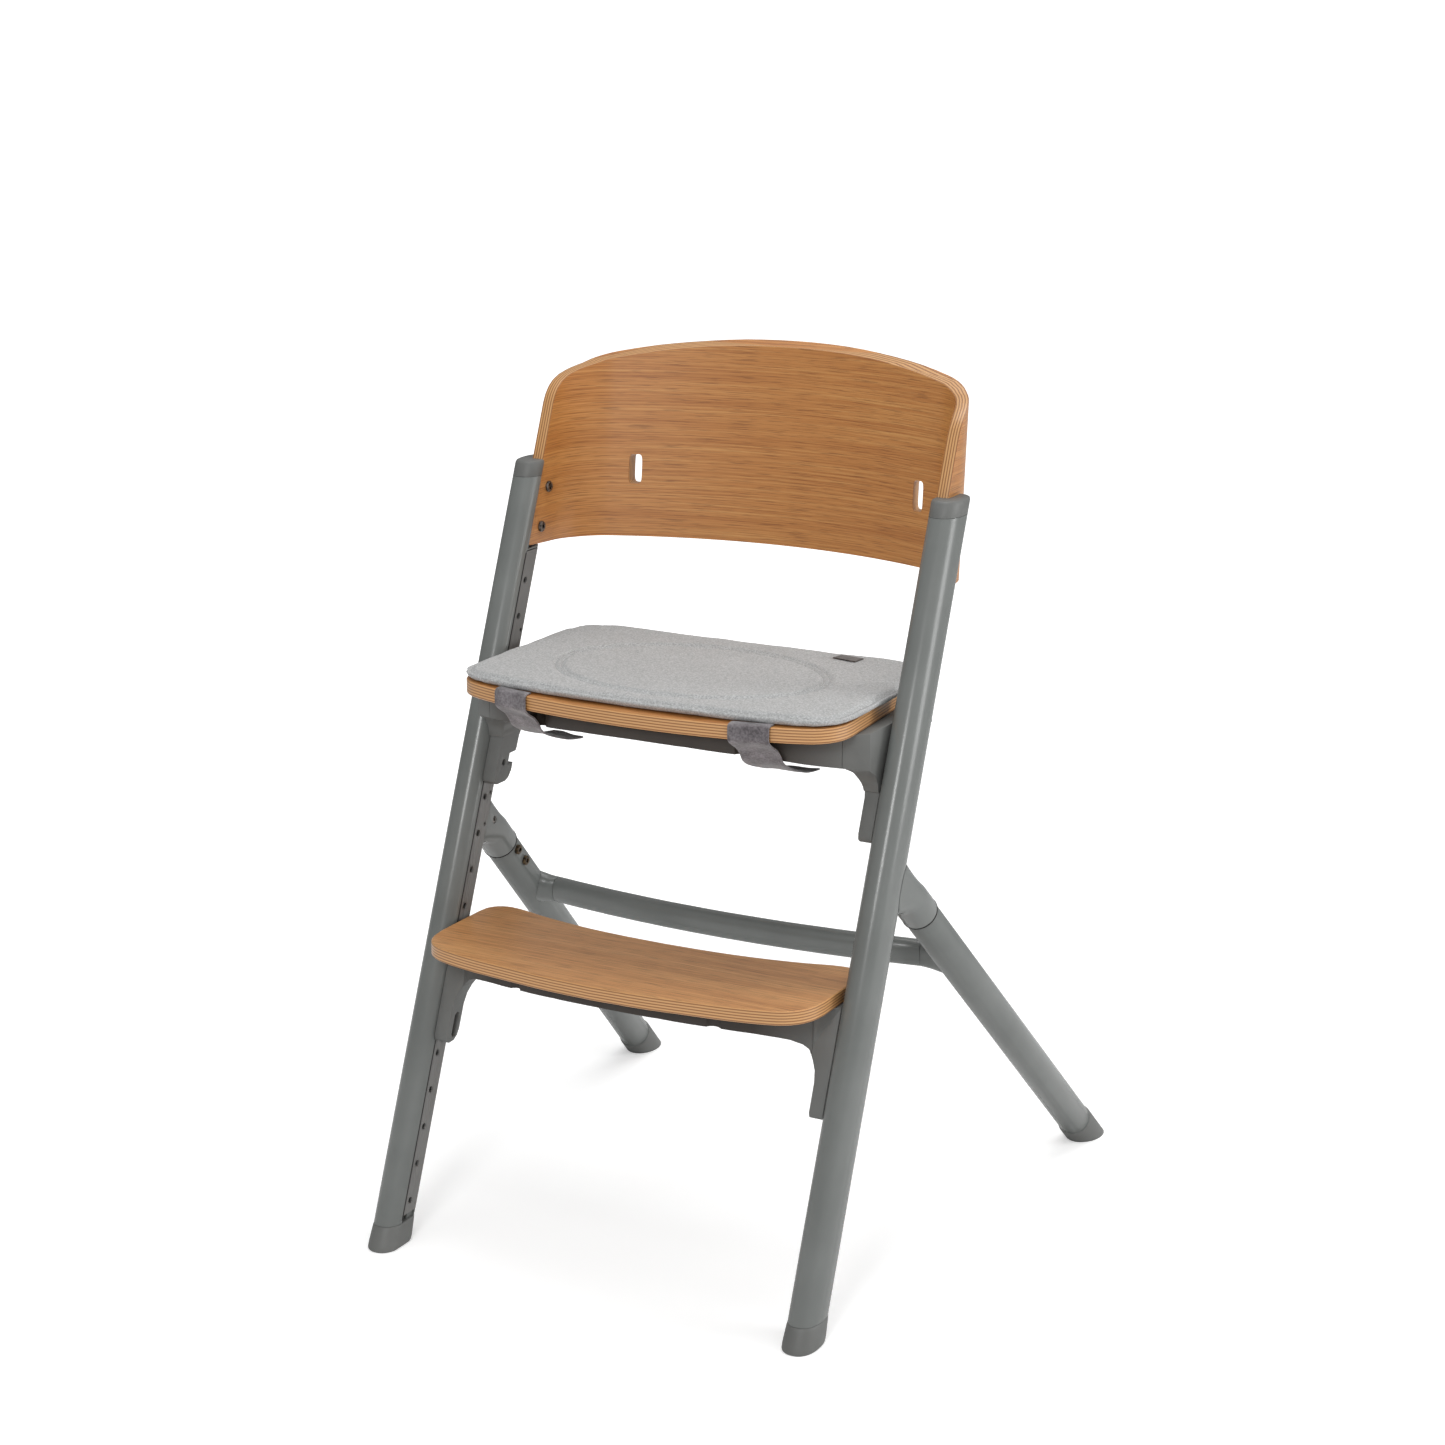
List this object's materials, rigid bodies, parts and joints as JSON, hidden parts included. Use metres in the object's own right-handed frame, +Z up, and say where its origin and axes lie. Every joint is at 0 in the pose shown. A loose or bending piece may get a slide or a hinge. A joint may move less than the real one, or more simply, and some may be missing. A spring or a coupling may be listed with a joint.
{
  "type": "baby high chair",
  "caption": "Baby high chair with leaning front legs, spread rear legs, bent-ply backrest and a seat and footrest whose height is set along perforated rails.",
  "frame": {"origin": "floor level, under the middle of the bounding box", "axes": "+Z up, +Y towards the back of the chair, +X across it"},
  "size_m": [0.5732, 0.6232, 0.8388],
  "materials": {
    "painted_aluminium": "satin powder coat",
    "rail_metal": "satin",
    "grey_plastic": "fine satin",
    "dark_plastic": "fine satin",
    "oak_plywood": "satin lacquer, light laminated edges",
    "fabric": "grey melange weave",
    "webbing": "woven",
    "steel": "satin",
    "dark_steel": "blackened, worn",
    "tag_cloth": "plain woven"
  },
  "bodies": {
    "frame": {"front_leg_left": "painted_aluminium", "front_leg_right": "painted_aluminium", "rail_left": "rail_metal", "rail_right": "rail_metal", "rail_screw_low_left": "steel", "rail_screw_low_right": "steel", "rail_screw_mid_left": "steel", "rail_screw_mid_right": "steel", "rail_screw_high_left": "steel", "rail_screw_high_right": "steel", "leg_cap_left": "grey_plastic", "leg_cap_right": "grey_plastic", "front_foot_left": "grey_plastic", "front_foot_right": "grey_plastic", "rear_leg_left": "painted_aluminium", "rear_leg_right": "painted_aluminium", "spigot_bolt_upper_left": "dark_steel", "spigot_bolt_upper_right": "dark_steel", "spigot_bolt_lower_left": "dark_steel", "spigot_bolt_lower_right": "dark_steel", "leg_joint_left": "painted_aluminium", "leg_joint_right": "painted_aluminium", "joint_screw_left": "steel", "joint_screw_right": "steel", "rear_foot_left": "grey_plastic", "rear_foot_right": "grey_plastic", "bar_saddle_left": "painted_aluminium", "bar_saddle_right": "painted_aluminium", "back_screw_lower_left": "steel", "back_screw_lower_right": "steel", "back_screw_upper_left": "steel", "back_screw_upper_right": "steel", "crossbar": "painted_aluminium", "backrest": "oak_plywood"},
    "seat": {"seat_board": "oak_plywood", "seat_tray": "dark_plastic", "seat_cushion": "fabric", "cushion_tag": "tag_cloth", "seat_bracket_left": "grey_plastic", "seat_bracket_right": "grey_plastic", "seat_screw_front_left": "steel", "seat_screw_front_right": "steel", "seat_screw_rear_left": "steel", "seat_screw_rear_right": "steel", "strap_left": "webbing", "strap_right": "webbing"},
    "footrest": {"footrest_board": "oak_plywood", "footrest_tray": "dark_plastic", "footrest_bracket_left": "grey_plastic", "footrest_bracket_right": "grey_plastic", "footrest_screw_front_left": "steel", "footrest_screw_front_right": "steel", "footrest_screw_rear_left": "steel", "footrest_screw_rear_right": "steel"},
    "seat_pin_left": {"seat_pin_left": "steel"},
    "seat_pin_right": {"seat_pin_right": "steel"},
    "footrest_pin_left": {"footrest_pin_left": "steel"},
    "footrest_pin_right": {"footrest_pin_right": "steel"}
  },
  "joints": [
    {"name": "seat_height", "type": "slide", "parent": "frame", "child": "seat", "axis": [0, 0.3716, 0.9284], "range_m": [-0.07217, 0.07217]},
    {"name": "footrest_height", "type": "slide", "parent": "frame", "child": "footrest", "axis": [0, 0.3716, 0.9284], "range_m": [-0.14434, 0.03608]},
    {"name": "seat_pin_left_lock", "type": "slide", "parent": "seat", "child": "seat_pin_left", "axis": [-1, 0, 0], "range_m": [0, 0.006]},
    {"name": "seat_pin_right_lock", "type": "slide", "parent": "seat", "child": "seat_pin_right", "axis": [1, 0, 0], "range_m": [0, 0.006]},
    {"name": "footrest_pin_left_lock", "type": "slide", "parent": "footrest", "child": "footrest_pin_left", "axis": [-1, 0, 0], "range_m": [0, 0.006]},
    {"name": "footrest_pin_right_lock", "type": "slide", "parent": "footrest", "child": "footrest_pin_right", "axis": [1, 0, 0], "range_m": [0, 0.006]}
  ]
}
